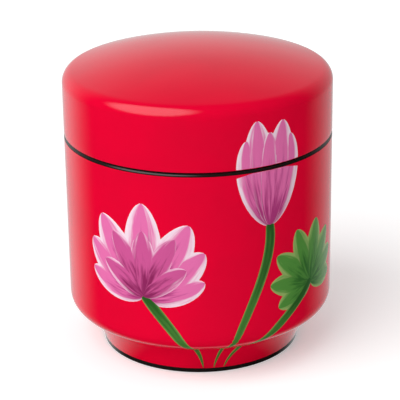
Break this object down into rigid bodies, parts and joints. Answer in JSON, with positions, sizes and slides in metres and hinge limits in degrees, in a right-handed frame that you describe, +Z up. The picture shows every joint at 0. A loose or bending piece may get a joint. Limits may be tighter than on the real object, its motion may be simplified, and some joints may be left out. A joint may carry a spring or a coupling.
{
  "type": "lacquer tea caddy",
  "caption": "Round red lacquer caddy on a small foot, with a domed lift-off lid over a black inner lid and lining.",
  "frame": {"origin": "centre of the flat underside", "axes": "+Z up along the turning axis; -Y is the side that the picture shows"},
  "size_m": [0.1, 0.1, 0.1142],
  "materials": {
    "red_lacquer": "high gloss lacquer",
    "black_lacquer": "gloss lacquer"
  },
  "bodies": {
    "body": {"foot_base": "black_lacquer", "foot": "red_lacquer", "body_wall": "red_lacquer", "body_floor": "black_lacquer", "lining": "black_lacquer"},
    "inner_lid": {"inner_lid": "black_lacquer", "inner_lid_knob": "black_lacquer"},
    "lid": {"lid_wall": "red_lacquer", "lid_top": "red_lacquer"}
  },
  "joints": [
    {"name": "inner_lid_lift", "type": "slide", "parent": "body", "child": "inner_lid", "axis": [0, 0, 1], "range_m": [0, 0.06]},
    {"name": "lid_lift", "type": "slide", "parent": "inner_lid", "child": "lid", "axis": [0, 0, 1], "range_m": [0, 0.11]}
  ]
}
